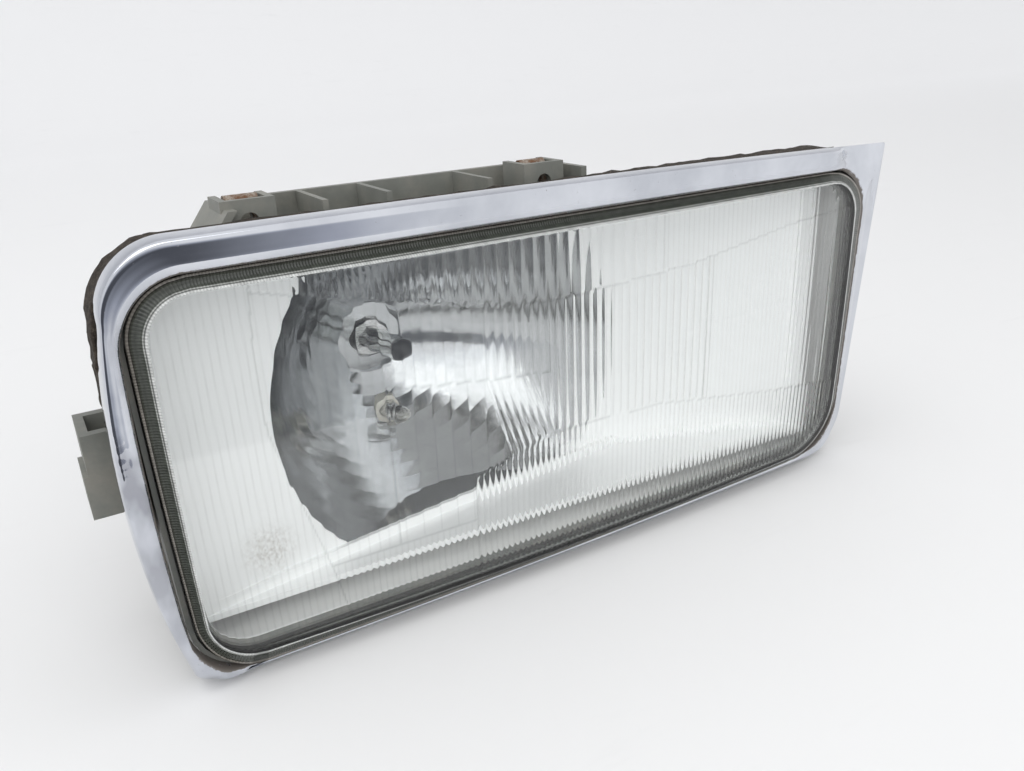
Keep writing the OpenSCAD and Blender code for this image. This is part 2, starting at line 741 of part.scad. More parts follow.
module breather_elbow() {
    color([0.1, 0.1, 0.1]) translate([breather_x, back_y, breather_z]) difference() {
        union() {
            rod(6.8, 0, 14);
            translate([0, 14, 0]) sphere(r = 6.8);
            translate([0, 14, -18]) cylinder(r = 5, h = 18);
        }
        rod(5, -1, 9);
        rod(3, 8, 14);
        translate([0, 14, -19]) cylinder(r = 3, h = 20);
    }
}
socket_floor = back_y + 8;
socket_end = back_y + 23;
module inlet_socket() {
    color([0.1, 0.1, 0.1]) translate([inlet_x, 0, inlet_z]) difference() {
        union() {
            block(-12.8, 12.8, back_y - 5, back_y + 1.5, -7.8, 7.8);
            block(-24, 24, back_y + 1.5, back_y + 4, -11, 11);
            block(-13, 13, back_y + 4, socket_end, -9, 9);
        }
        block(-11, 11, socket_floor, socket_end + 1, -7, 7);
        for (x = [-19, 19]) translate([x, 0, 0]) rod(1.6, back_y, back_y + 5);
    }
}
module inlet_seal() {
    color([0.06, 0.06, 0.06]) translate([inlet_x, 0, inlet_z]) difference() {
        block(-23, 23, back_y, back_y + 1.5, -10.5, 10.5);
        block(-12.8, 12.8, back_y - 1, back_y + 3, -7.8, 7.8);
        for (x = [-19, 19]) translate([x, 0, 0]) rod(1.6, back_y - 1, back_y + 3);
    }
}
module inlet_pins() {
    color([0.8, 0.72, 0.45]) for (x = [-6, 0, 6])
        translate([inlet_x + x, 0, inlet_z]) block(-0.4, 0.4, socket_floor, socket_floor + 11, -2.8, 2.8);
}
module inlet_screws() {
    color([0.55, 0.55, 0.52]) for (x = [-19, 19]) translate([inlet_x + x, 0, inlet_z]) {
        rod(1.5, back_y - 3, back_y + 4);
        rod(3.2, back_y + 4, back_y + 6);
    }
}

place() chrome_bezel();
place() bezel_clips();
place() weather_seal();
place() lens();
place() lens_gasket();
place() housing();
place() top_frame();
place() top_frame_screws();
place() spring_nuts();
place() side_bracket();
place() side_bracket_screws();
place() pivot_stud();
place() pivot_cup();
place() reflector();
place() vertical_nut();
place() horizontal_nut();
place() seat_plate();
place() seat_plate_screws();
place() bulb_glass();
place() bulb_flange();
place() bulb_insulator();
place() bulb_terminals();
place() bulb_filament();
place() bulb_clip();
place() parking_holder();
place() parking_bulb_base();
place() parking_bulb_glass();
place() vertical_screw();
place() vertical_knob();
place() vertical_retainer();
place() horizontal_screw();
place() horizontal_knob();
place() horizontal_retainer();
place() rear_cover();
place() cover_seal();
place() breather_elbow();
place() inlet_socket();
place() inlet_seal();
place() inlet_pins();
place() inlet_screws();
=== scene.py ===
"""Looks for the car headlight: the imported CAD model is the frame, and the lens, trim and foam
seal get finer meshes. Lengths are in millimetres until at() turns them into metres, apart from
those of the lights and the floor."""
import json
import math

import bmesh
import bpy
import numpy as np
from mathutils import Matrix, Vector, noise


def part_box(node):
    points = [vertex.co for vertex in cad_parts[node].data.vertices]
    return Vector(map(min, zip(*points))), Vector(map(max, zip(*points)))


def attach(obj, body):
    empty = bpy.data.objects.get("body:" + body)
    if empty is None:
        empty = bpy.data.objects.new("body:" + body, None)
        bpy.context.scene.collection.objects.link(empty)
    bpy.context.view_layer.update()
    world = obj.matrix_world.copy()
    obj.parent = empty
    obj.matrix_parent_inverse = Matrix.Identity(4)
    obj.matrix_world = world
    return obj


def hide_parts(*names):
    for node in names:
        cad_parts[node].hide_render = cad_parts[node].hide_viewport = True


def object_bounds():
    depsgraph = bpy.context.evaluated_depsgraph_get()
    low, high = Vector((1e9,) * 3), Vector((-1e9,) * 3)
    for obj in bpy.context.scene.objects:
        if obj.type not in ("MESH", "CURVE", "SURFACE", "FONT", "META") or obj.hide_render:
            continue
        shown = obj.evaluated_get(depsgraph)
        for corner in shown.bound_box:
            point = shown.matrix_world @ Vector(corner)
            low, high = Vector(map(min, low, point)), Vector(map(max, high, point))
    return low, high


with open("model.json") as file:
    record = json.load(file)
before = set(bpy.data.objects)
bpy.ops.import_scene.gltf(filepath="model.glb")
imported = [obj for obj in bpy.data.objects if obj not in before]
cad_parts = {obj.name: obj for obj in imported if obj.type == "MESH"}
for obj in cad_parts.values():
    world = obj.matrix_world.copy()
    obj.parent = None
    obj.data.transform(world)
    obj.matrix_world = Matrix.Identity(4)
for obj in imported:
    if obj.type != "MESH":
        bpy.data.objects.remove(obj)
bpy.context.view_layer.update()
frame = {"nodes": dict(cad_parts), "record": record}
nodes = frame["nodes"]

MM = 0.001
LENS_W = 300.0
LENS_H = 129.0
GLASS_T = 3.8
RIM_BACK = 8.5
# Where the fixed ball and the foot of the housing are in the design's own frame.
PIVOT_X = 100.0
BASE_Z = -9.0
# The reflector's axis: its height, the vertex it starts at, and how far it leans.
AXIS_Z = 66.0
VERTEX = (-40.6, 118.8)
RAKE = math.radians(9.0)


def working_origin():
    """Where the design's own zero (middle of the lens's lower edge) is in the row frame."""
    cup_low, cup_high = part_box("pivot_cup")
    return Vector((
        (cup_low.x + cup_high.x) / 2 - PIVOT_X * MM,
        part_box("lens")[1].y - RIM_BACK * MM,
        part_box("housing")[0].z - BASE_Z * MM,
    ))


ORIGIN = working_origin()


def at(x, y, z):
    return ORIGIN + Vector((x, y, z)) * MM


def axis_point(u, v, w=0.0):
    """A point of the lamp's raked frame: u across, v back along the axis, w up."""
    return at(
        VERTEX[0] + u * math.cos(RAKE) - v * math.sin(RAKE),
        VERTEX[1] + u * math.sin(RAKE) + v * math.cos(RAKE),
        AXIS_Z + w,
    )


# ---- Camera, world and lights -------------------------------------------------------

CAMERA_AT = (-177.2, -254.2, 190.3)
YAW = math.radians(30.03)
PITCH = math.radians(21.45)
ROLL = math.radians(2.81)
FOCAL_MM = 30.15


def camera_axes():
    """Right, up and forward directions of the camera."""
    forward = Vector((
        math.sin(YAW) * math.cos(PITCH), math.cos(YAW) * math.cos(PITCH), -math.sin(PITCH)
    ))
    right = Vector((math.cos(YAW), -math.sin(YAW), 0.0))
    down = forward.cross(right)
    rolled_right = math.cos(ROLL) * right + math.sin(ROLL) * down
    rolled_down = -math.sin(ROLL) * right + math.cos(ROLL) * down
    return rolled_right, -rolled_down, forward


def add_camera():
    right, up, forward = camera_axes()
    data = bpy.data.cameras.new("camera")
    data.lens = FOCAL_MM
    data.sensor_width = 36.0
    data.clip_start = 0.01
    camera = bpy.data.objects.new("camera", data)
    turn = Matrix((right, up, -forward)).transposed()
    camera.matrix_world = Matrix.Translation(at(*CAMERA_AT)) @ turn.to_4x4()
    bpy.context.scene.collection.objects.link(camera)
    bpy.context.scene.camera = camera


def add_area(name, where, target, size, power, glossy=True):
    """A soft light, in metres and watts, that mirrors show only if it is glossy."""
    data = bpy.data.lights.new(name, "AREA")
    data.shape = "RECTANGLE"
    data.size, data.size_y = size
    data.energy = power
    light = bpy.data.objects.new(name, data)
    light.visible_glossy = glossy
    aim = (Vector(target) - Vector(where)).to_track_quat("-Z", "Y")
    light.matrix_world = Matrix.Translation(Vector(where)) @ aim.to_matrix().to_4x4()
    bpy.context.scene.collection.objects.link(light)


def add_world():
    """A white tent that is open, and so darker, on the side the camera stands."""
    world = bpy.data.worlds.new("tent")
    bpy.context.scene.world = world
    world.use_nodes = True
    tree = world.node_tree
    background = tree.nodes["Background"]
    coord = tree.nodes.new("ShaderNodeTexCoord")
    dot = tree.nodes.new("ShaderNodeVectorMath")
    dot.operation = "DOT_PRODUCT"
    opening = Vector((-0.28, -0.89, -0.36)).normalized()
    dot.inputs[1].default_value = opening
    ramp = tree.nodes.new("ShaderNodeValToRGB")
    band = ramp.color_ramp
    band.elements.new(0.5)
    stops = ((0.72, (0.95, 0.955, 0.965)), (0.82, (0.46, 0.48, 0.54)), (0.90, (0.10, 0.105, 0.12)))
    for element, (place, colour) in zip(band.elements, stops):
        element.position = place
        element.color = (*colour, 1)
    tree.links.new(coord.outputs["Generated"], dot.inputs[0])
    tree.links.new(dot.outputs["Value"], ramp.inputs["Fac"])
    tree.links.new(ramp.outputs["Color"], background.inputs["Color"])
    background.inputs["Strength"].default_value = 1.0


# ---- Materials ----------------------------------------------------------------------


class Finish:
    """One procedural material, built up from noise, ramps and bumps."""

    def __init__(self, name, metallic=0.0, roughness=0.5):
        self.material = bpy.data.materials.new(name)
        self.material.use_nodes = True
        self.tree = self.material.node_tree
        self.shader = self.tree.nodes["Principled BSDF"]
        self.shader.inputs["Metallic"].default_value = metallic
        self.shader.inputs["Roughness"].default_value = roughness
        self.coord = self.tree.nodes.new("ShaderNodeTexCoord").outputs["Object"]
        self.height = None

    def node(self, kind, settings=(), **inputs):
        """A node with its inputs set or linked; _0 is the first input, for unnamed ones."""
        made = self.tree.nodes.new(kind)
        for key, value in dict(settings).items():
            setattr(made, key, value)
        for key, value in inputs.items():
            socket = made.inputs[int(key[1:])] if key[0] == "_" else made.inputs[key]
            if isinstance(value, bpy.types.NodeSocket):
                self.tree.links.new(value, socket)
            else:
                socket.default_value = value
        return made

    def noise(self, size_mm, detail=4.0, rough=0.6, stretch=(1, 1, 1), shift=(0, 0, 0)):
        """Noise whose largest patches are about size_mm across."""
        mapping = self.node("ShaderNodeMapping", Vector=self.coord, Scale=stretch, Location=shift)
        made = self.node(
            "ShaderNodeTexNoise", Vector=mapping.outputs[0], Scale=1.0 / (size_mm * MM),
            Detail=detail, Roughness=rough,
        )
        return made.outputs["Fac"]

    def ramp(self, factor, *stops):
        """A colour for each value of factor, from (place, colour or grey level) stops."""
        made = self.node("ShaderNodeValToRGB", Fac=factor)
        band = made.color_ramp
        while len(band.elements) < len(stops):
            band.elements.new(1.0)
        for element, (place, colour) in zip(band.elements, stops):
            element.position = place
            level = colour if isinstance(colour, tuple) else (colour, colour, colour)
            element.color = (*level, 1.0)
        return made.outputs["Color"]

    def maths(self, operation, a, b=0.0, c=0.5):
        return self.node("ShaderNodeMath", {"operation": operation}, _0=a, _1=b, _2=c).outputs[0]

    def times(self, a, b):
        """One colour multiplied by another."""
        made = self.node("ShaderNodeMix", {"data_type": "RGBA", "blend_type": "MULTIPLY"})
        made.inputs[0].default_value = 1.0
        self.tree.links.new(a, made.inputs[6])
        self.tree.links.new(b, made.inputs[7])
        return made.outputs[2]

    def blend(self, factor, a, b):
        """Colour a where factor is 0, and b where it is 1."""
        made = self.node("ShaderNodeMix", {"data_type": "RGBA"})
        for socket, value in zip((made.inputs[0], made.inputs[6], made.inputs[7]), (factor, a, b)):
            if isinstance(value, bpy.types.NodeSocket):
                self.tree.links.new(value, socket)
            elif isinstance(value, tuple):
                socket.default_value = (*value, 1.0)
            else:
                socket.default_value = value
        return made.outputs[2]

    def near(self, centre, radius_mm):
        """1 at a place on the object, fading to 0 at radius_mm."""
        made = self.node("ShaderNodeMapRange", {"interpolation_type": "SMOOTHSTEP"})
        self.tree.links.new(self.vector("DISTANCE", self.coord, centre, 1), made.inputs[0])
        made.inputs[1].default_value = radius_mm * MM
        made.inputs[2].default_value = 0.0
        made.inputs[3].default_value = 0.0
        made.inputs[4].default_value = 1.0
        return made.outputs[0]

    def attribute(self, name):
        """A number that spread() stored at each point of the mesh."""
        return self.node("ShaderNodeAttribute", {"attribute_name": name}).outputs["Fac"]

    def vector(self, operation, a, b=(0, 0, 0), output=0):
        made = self.node("ShaderNodeVectorMath", {"operation": operation}, _0=a, _1=b)
        return made.outputs[output]

    def colour(self, value):
        self.link(value, "Base Color")

    def link(self, value, name):
        self.tree.links.new(value, self.shader.inputs[name])

    def bump(self, height, depth_mm, strength=1.0):
        """Adds relief on top of any relief that is there already."""
        made = self.node(
            "ShaderNodeBump", Height=height, Distance=depth_mm * MM, Strength=strength
        )
        if self.height is not None:
            self.tree.links.new(self.height, made.inputs["Normal"])
        self.height = made.outputs[0]
        self.link(self.height, "Normal")

    def output(self, shader):
        end = self.tree.nodes["Material Output"]
        self.tree.links.new(shader, end.inputs["Surface"])


def moulded(name, dark, light, grain_mm=0.7, roughness=0.55, dust=None, inside=None):
    """Plastic with a fine grain, optional dust, and a pale colour, painted light, where inside()
    gives 1.
    """
    made = Finish(name, roughness=roughness)
    tone = made.ramp(made.noise(28.0, 5.0), (0.3, dark), (0.72, light))
    if dust:
        patch = made.ramp(made.noise(20.0, 8.0, 0.68, shift=(3, 1, 7)), (0.45, 0.0), (0.80, 0.5))
        tone = made.blend(patch, tone, dust)
    # Painted light: the inner walls of the bay are given a pale colour so that they look lit
    # although they lie in shade.
    if inside:
        tone = made.blend(inside(made), tone, (0.90, 0.90, 0.89))
    made.colour(tone)
    made.link(made.ramp(made.noise(14.0), (0.3, roughness - 0.1), (0.7, roughness + 0.15)),
              "Roughness")
    made.bump(made.noise(grain_mm, 3.0), 0.05, 0.5)
    made.bump(made.noise(12.0, 2.0), 0.15, 0.4)
    return made.material


def metal(name, dark, light, roughness, rust=None):
    """Plated or bare metal with fine brushing and optional rust."""
    made = Finish(name, metallic=1.0, roughness=roughness)
    tone = made.ramp(made.noise(6.0, 6.0), (0.3, dark), (0.7, light))
    rough = made.ramp(made.noise(1.5, 6.0, 0.7, (1, 1, 6)), (0.3, roughness * 0.6),
                      (0.75, roughness * 1.5))
    if rust:
        patch = made.ramp(made.noise(2.2, 8.0, 0.75), (0.36, 0.0), (0.56, 1.0))
        tone = made.blend(patch, tone, rust)
        made.link(made.blend(patch, (1.0, 1.0, 1.0), (0.0, 0.0, 0.0)), "Metallic")
        rough = made.blend(patch, rough, (0.85, 0.85, 0.85))
        made.bump(made.noise(0.8, 6.0, 0.7), 0.12, 0.8)
    made.colour(tone)
    made.link(rough, "Roughness")
    made.bump(made.noise(0.6, 4.0, 0.6, (1, 8, 1)), 0.01, 0.35)
    return made.material


def chrome():
    """Polished trim: bright, with cloudy and scratched places, and dirt along the lens."""
    made = Finish("chrome_trim", metallic=1.0, roughness=0.05)
    sheen = made.ramp(made.noise(45.0, 4.0), (0.35, (0.55, 0.57, 0.62)), (0.7, (0.72, 0.74, 0.79)))
    clouds = made.ramp(made.noise(13.0, 3.0, 0.5, (1, 1, 0.5), (2, 0, 5)), (0.50, 0.0), (0.62, 1.0))
    clouds = made.maths("MULTIPLY", clouds, made.near(at(-160, 0, 70), 90.0))
    tone = made.blend(made.maths("MULTIPLY", clouds, 0.55), sheen, (0.20, 0.20, 0.23))
    corner = made.near(at(-156, 0, 0), 48.0)
    grain = made.maths("ADD", made.noise(1.5, 9.0, 0.8), made.maths("MULTIPLY", corner, 0.10))
    specks = made.ramp(grain, (0.70, 0.0), (0.76, 0.8))
    edge = made.ramp(made.attribute("across"), (0.03, 1.0), (0.12, 0.0))
    crust = made.ramp(made.maths("MULTIPLY_ADD", edge, 0.34, made.noise(2.2, 7.0, 0.75)),
                      (0.66, 0.0), (0.74, 0.9))
    dirt = made.maths("MAXIMUM", specks, crust)
    made.colour(made.blend(dirt, tone, (0.10, 0.08, 0.06)))
    made.link(made.maths("SUBTRACT", 1.0, dirt), "Metallic")
    hairs = made.ramp(made.noise(1.1, 5.0, 0.7, (1, 14, 9)), (0.55, 0.035), (0.8, 0.22))
    made.link(made.blend(dirt, hairs, (0.7, 0.7, 0.7)), "Roughness")
    dents = made.maths("MULTIPLY", made.noise(12.0, 2.0), made.near(at(-160, 0, 60), 85.0))
    made.bump(made.noise(26.0, 1.0), 0.12, 0.35)
    made.bump(dents, 0.6, 0.6)
    return made.material


# How far in front of the reflector's vertex its bowl ends and its flat walls start.
BOWL_MOUTH = 69.8


def mirror_coat():
    """Metallised reflector: near mirror in the bowl, whose dark grey tone is a painted reflection,
    milky on the flat walls in front of it.
    """
    made = Finish("reflector_silver", roughness=0.08)
    axis = Vector((-math.sin(RAKE), math.cos(RAKE), 0.0))
    depth = made.vector("DOT_PRODUCT", made.coord, axis, 1)
    wall = made.maths("LESS_THAN", depth, axis_point(0, -BOWL_MOUTH).dot(axis))
    made.link(made.maths("MULTIPLY_ADD", wall, -0.75, 0.88), "Metallic")
    # Painted reflection: the bowl's metal is given a dark grey tone that stands in for the dark
    # things it reflects.
    tone = made.ramp(made.noise(22.0, 5.0), (0.3, (0.47, 0.48, 0.49)), (0.7, (0.58, 0.59, 0.60)))
    made.colour(made.blend(wall, tone, (0.97, 0.975, 0.975)))
    haze = made.ramp(made.noise(7.0, 7.0, 0.7), (0.35, 0.05), (0.75, 0.2))
    made.link(made.maths("MULTIPLY_ADD", wall, 0.3, haze), "Roughness")
    made.bump(made.noise(9.0, 2.0), 0.05, 0.5)
    return made.material


# The space inside the housing's front part: middle, half sizes to where its corners start to
# turn, their radius, and the depths it lies between.
BAY_MIDDLE = (2.5, 14.0, 61.5)
BAY_HALF = (146.5, 0.0, 58.5)
BAY_RADIUS = 10.5
BAY_FRONT, BAY_BACK = 13.5, 43.0


def inside_bay(made):
    """1 on the inner walls of the housing's front part, which get painted light, and 0 elsewhere.
    """
    away = made.vector("ABSOLUTE", made.vector("SUBTRACT", made.coord, at(*BAY_MIDDLE)))
    corner = made.vector("SUBTRACT", away, Vector(BAY_HALF) * MM)
    corner = made.vector("MULTIPLY", made.vector("MAXIMUM", corner), (1, 0, 1))
    inside = made.maths("LESS_THAN", made.vector("LENGTH", corner, output=1), BAY_RADIUS * MM)
    depth = made.vector("DOT_PRODUCT", made.coord, (0, 1, 0), 1)
    front, back = at(0, BAY_FRONT, 0).y, at(0, BAY_BACK, 0).y
    inside = made.maths("MULTIPLY", inside, made.maths("GREATER_THAN", depth, front))
    return made.maths("MULTIPLY", inside, made.maths("LESS_THAN", depth, back))


def foam():
    """Old foam strip: dark brown cells with pale grit rubbed into them."""
    made = Finish("foam", roughness=0.95)
    tone = made.ramp(made.noise(1.8, 9.0, 0.8), (0.38, (0.012, 0.009, 0.007)),
                     (0.55, (0.05, 0.038, 0.028)), (0.78, (0.26, 0.22, 0.17)))
    made.colour(tone)
    made.bump(made.noise(1.3, 6.0, 0.75), 1.0, 1.0)
    made.bump(made.noise(5.0, 4.0), 1.6, 0.8)
    return made.material


def see_through(made, colour, share=0.92):
    """Glass that lets light past it in a straight line, so that what is inside is lit."""
    made.shader.inputs["Transmission Weight"].default_value = 1.0
    made.shader.inputs["IOR"].default_value = 1.5
    clear = made.node("ShaderNodeBsdfTransparent", Color=(*(share * c for c in colour), 1.0))
    path = made.node("ShaderNodeLightPath")
    mixed = made.node("ShaderNodeMixShader", _0=path.outputs["Is Shadow Ray"],
                      _1=made.shader.outputs[0], _2=clear.outputs[0])
    made.output(mixed.outputs[0])


def lens_glass():
    """Clear pressed glass: painted shade along the fine grooves between flutes, specks and one
    scuffed place.
    """
    made = Finish("lens_glass", roughness=0.0)
    grime = made.maths(
        "MULTIPLY", made.near(at(-126, 0, 40), 13.0),
        made.ramp(made.noise(1.8, 9.0, 0.8, (1.6, 1, 1)), (0.46, 0.0), (0.60, 0.6)),
    )
    dots = made.ramp(made.noise(2.4, 9.0, 0.82, shift=(5, 2, 9)), (0.70, 0.0), (0.75, 0.6))
    dirt = made.maths("MAXIMUM", grime, dots)
    # Painted shade: the glass colour is darkened along the grooves between flutes and along the
    # lines between fields.
    groove = made.maths("MULTIPLY", made.attribute("groove"), 0.6)
    clear = made.blend(groove, (0.975, 0.985, 0.98), (0.50, 0.52, 0.51))
    made.colour(made.blend(dirt, clear, (0.30, 0.25, 0.19)))
    made.link(made.blend(dirt, (0.0, 0.0, 0.0), (0.3, 0.3, 0.3)), "Roughness")
    see_through(made, (0.97, 0.98, 0.975))
    return made.material


# Distance between the fine ribs of the lens's bevel.
RIB_PITCH = 0.95


def rim_glass():
    """The lens's rim: a rounded edge with painted highlights, a ribbed bevel darkened by painted
    shade, and a beaded outer lip.
    """
    made = Finish("rim_glass", roughness=0.2)
    turns = made.maths("MULTIPLY", made.attribute("along"), 2 * math.pi / RIB_PITCH)
    ribs = made.maths("SINE", turns)
    # Painted light: the light bands are painted highlights of the rim's edge and its inner fillet,
    # and the dark bands are painted shade where the dark seal and housing show through the glass.
    bands = made.ramp(
        made.attribute("outwards"), (0.0, (0.66, 0.68, 0.66)), (0.12, (0.80, 0.81, 0.79)),
        (0.17, (0.10, 0.11, 0.10)), (0.22, (0.62, 0.63, 0.60)), (0.27, (0.10, 0.11, 0.095)),
        (0.55, (0.050, 0.056, 0.046)), (0.80, (0.085, 0.09, 0.075)), (0.83, (0.03, 0.028, 0.024)),
        (0.87, (0.33, 0.31, 0.28)), (0.96, (0.26, 0.24, 0.21)), (1.0, (0.02, 0.018, 0.015)),
    )
    # Painted shade: the colour darkens between the ribs.
    rib_shade = made.ramp(made.maths("MULTIPLY_ADD", ribs, 0.5), (0.0, 0.72), (1.0, 1.0))
    mottle = made.ramp(made.noise(3.0, 7.0, 0.7), (0.3, 0.55), (0.7, 1.0))
    made.colour(made.times(made.times(bands, rib_shade), mottle))
    made.bump(ribs, 0.10, 0.7)
    made.shader.inputs["IOR"].default_value = 1.5
    return made.material


def bulb_glass_finish():
    """Clear thin glass with a faint uneven tint."""
    made = Finish("bulb_glass", roughness=0.0)
    made.colour(made.ramp(made.noise(12.0), (0.3, (0.93, 0.95, 0.94)), (0.7, (0.98, 0.98, 0.96))))
    see_through(made, (0.97, 0.98, 0.97))
    return made.material


GREY_DARK, GREY_LIGHT = (0.125, 0.130, 0.120), (0.195, 0.200, 0.188)
FRAME_DARK, FRAME_LIGHT = (0.135, 0.140, 0.125), (0.215, 0.220, 0.200)
DUST = (0.34, 0.31, 0.26)
FINISHES = {
    "chrome_trim": chrome(),
    "foam": foam(),
    "lens_glass": lens_glass(),
    "sealant": moulded("sealant", (0.012, 0.012, 0.012), (0.03, 0.028, 0.025), 0.9, 0.7),
    "housing_plastic": moulded("housing_plastic", GREY_DARK, GREY_LIGHT, dust=DUST,
                               inside=inside_bay),
    "frame_plastic": moulded("frame_plastic", FRAME_DARK, FRAME_LIGHT, dust=DUST),
    "zinc_steel": metal("zinc_steel", (0.5, 0.49, 0.45), (0.68, 0.67, 0.62), 0.38),
    "rusty_steel": metal("rusty_steel", (0.34, 0.31, 0.27), (0.48, 0.44, 0.38), 0.5,
                         rust=(0.13, 0.062, 0.03)),
    "spring_steel": metal("spring_steel", (0.55, 0.55, 0.55), (0.74, 0.74, 0.74), 0.28),
    "nylon": moulded("nylon", (0.70, 0.68, 0.60), (0.82, 0.80, 0.74), 0.5, 0.4),
    "reflector_silver": mirror_coat(),
    "bulb_glass": bulb_glass_finish(),
    "bulb_insulator": moulded("bulb_insulator", (0.05, 0.05, 0.05), (0.09, 0.09, 0.085)),
    "filament": metal("filament", (0.2, 0.19, 0.18), (0.32, 0.3, 0.28), 0.5),
    "black_plastic": moulded("black_plastic", (0.012, 0.012, 0.012), (0.03, 0.03, 0.03)),
    "black_rubber": moulded("black_rubber", (0.01, 0.01, 0.01), (0.022, 0.022, 0.022), 0.5, 0.8),
    "brass": metal("brass", (0.62, 0.46, 0.2), (0.78, 0.62, 0.32), 0.3),
}


def dress_cad():
    """Gives every CAD node its slot's finish."""
    slots = {part["node"]: part["material_slot"] for part in frame["record"]["subparts"]}
    for name, body in nodes.items():
        body.data.materials.clear()
        body.data.materials.append(FINISHES[slots[name]])


# ---- Outlines, the same as the CAD's ------------------------------------------------

HALF_W = LENS_W / 2
FACE_CORNERS = [(-148.4, 2.6), (147.3, 1.8), (152.3, 129.0), (-149.4, 129.0)]
RIM_CORNERS = [(-151.8, -4.2), (154.0, -3.0), (161.4, 133.6), (-155.4, 134.0)]
RIM_RADII = [20.0, 26.0, 21.0, 20.0]


def clamp01(x):
    return min(1.0, max(0.0, x))


def mix(a, b, t):
    """a where t is 0, and b where it is 1."""
    return a * (1 - t) + b * t


def bowed(x, z, left=1.0, top=0.0):
    """The sides bow out: the lower one always, the outer end by left, the top by top."""
    return (
        x - left * clamp01((-x - 90) / 50) * max(0.0, 1 - ((z - 55) / 68) ** 2),
        z + top * clamp01((z - 110) / 20) * (1 - (x / 175) ** 2)
        - 2.2 * clamp01((20 - z) / 20) * max(0.0, 1 - (x / 152) ** 2),
    )


def rounded_quad(corners, radii, arc_steps, side_steps):
    """Closed outline through four rounded corners, each side with extra points."""
    corners = [np.array(c, float) for c in corners]
    arcs = []
    for i, corner in enumerate(corners):
        u = corners[i - 1] - corner
        v = corners[(i + 1) % 4] - corner
        u, v = u / np.linalg.norm(u), v / np.linalg.norm(v)
        half = math.acos(float(u @ v)) / 2
        centre = corner + (u + v) / np.linalg.norm(u + v) * radii[i] / math.sin(half)
        first = corner + u * radii[i] / math.tan(half) - centre
        last = corner + v * radii[i] / math.tan(half) - centre
        start = math.atan2(first[1], first[0])
        sweep = (math.atan2(last[1], last[0]) - start + 3 * math.pi) % (2 * math.pi) - math.pi
        arcs.append([
            centre + radii[i] * np.array((math.cos(start + sweep * k / arc_steps),
                                          math.sin(start + sweep * k / arc_steps)))
            for k in range(arc_steps + 1)
        ])
    outline = []
    for i, arc in enumerate(arcs):
        outline += arc
        following = arcs[(i + 1) % 4][0]
        outline += [mix(arc[-1], following, k / (side_steps + 1))
                    for k in range(1, side_steps + 1)]
    return outline


def grown(corners, by):
    """Four corners moved outwards."""
    signs = ((-1, -1), (1, -1), (1, 1), (-1, 1))
    return [(c[0] + s[0] * by, c[1] + s[1] * by) for c, s in zip(corners, signs)]


def rim_outline(by, arc_steps, side_steps):
    """The outline of the lens's rim, grown by so many millimetres."""
    outline = rounded_quad(grown(RIM_CORNERS, by), [r + by for r in RIM_RADII],
                           arc_steps, side_steps)
    return [bowed(*p) for p in outline]


# ---- Mesh helpers -------------------------------------------------------------------


def make_object(name, points, faces, materials, smooth_angle=35.0):
    """A mesh object from points in the design's own frame, facing outwards."""
    mesh = bpy.data.meshes.new(name)
    mesh.from_pydata([at(*p) for p in points], [], faces)
    made = bpy.data.objects.new(name, mesh)
    bpy.context.scene.collection.objects.link(made)
    for material in materials:
        mesh.materials.append(material)
    build = bmesh.new()
    build.from_mesh(mesh)
    bmesh.ops.recalc_face_normals(build, faces=build.faces)
    build.to_mesh(mesh)
    build.free()
    mesh.shade_smooth()
    if smooth_angle < 180.0:
        mesh.set_sharp_from_angle(angle=math.radians(smooth_angle))
    return made


def spread(made, name, values):
    """Stores one number per point, for the material to read."""
    stored = made.data.attributes.new(name, "FLOAT", "POINT")
    stored.data.foreach_set("value", values)


def ring_faces(count, rings, loop, start=0):
    """Quads between rings of count points, counted from index start."""
    faces = []
    for i in range(rings if loop else rings - 1):
        here, there = start + i * count, start + ((i + 1) % rings) * count
        for j in range(count):
            k = (j + 1) % count
            faces.append((here + j, here + k, there + k, there + j))
    return faces


# ---- Trim frame ---------------------------------------------------------------------

HOLE_CORNERS = [(-153.4, -4.8), (154.4, -3.6), (161.9, 134.1), (-157.0, 134.5)]
HOLE_RADII = [21.0, 26.5, 21.5, 20.5]
TRIM_CORNERS = [(-153.4, -5.6), (161.0, -5.4), (176.2, 142.6), (-162.6, 145.4)]
TRIM_RADII = [2.0, 22.0, 1.0, 22.0]
# Rows of the trim's section: the share of the way from the hole to the outer edge, and the
# depth there on the plain sides, on the inner end's flange and on the strip below the lens.
TRIM_FRONT = [
    (0.00, 1.5, 3.6, 4.6), (0.06, 0.0, 3.2, 4.4), (0.25, -1.1, 3.8, 4.2), (0.48, -1.5, 4.8, 4.1),
    (0.68, -1.75, 5.3, 4.1), (0.82, -1.8, 5.6, 4.1), (0.93, -1.2, 5.8, 4.2), (1.00, 1.0, 6.0, 4.5),
]
# Depth of the rear edge of the skirt behind the trim's outer edge.
SKIRT_DEPTH = 8.0
TRIM_BACK = [
    (1.00, SKIRT_DEPTH, 7.3, 6.2), (0.90, SKIRT_DEPTH, 7.3, 6.2), (0.86, 1.6, 7.2, 6.2),
    (0.70, 0.4, 6.9, 6.2), (0.45, 1.0, 6.2, 6.2), (0.16, 3.0, 6.2, 6.2), (0.00, 6.2, 6.2, 6.2),
]


def smoothed(rows, steps):
    """Rows joined by a curve that passes through each of them."""
    rows = [np.array(r) for r in rows]
    path = []
    for i in range(len(rows) - 1):
        a, b, c, d = rows[max(i - 1, 0)], rows[i], rows[i + 1], rows[min(i + 2, len(rows) - 1)]
        for k in range(steps):
            t = k / steps
            path.append(0.5 * (2 * b + (c - a) * t + (2 * a - 5 * b + 4 * c - d) * t * t
                               + (3 * b - a - 3 * c + d) * t ** 3))
    return path + [rows[-1]]


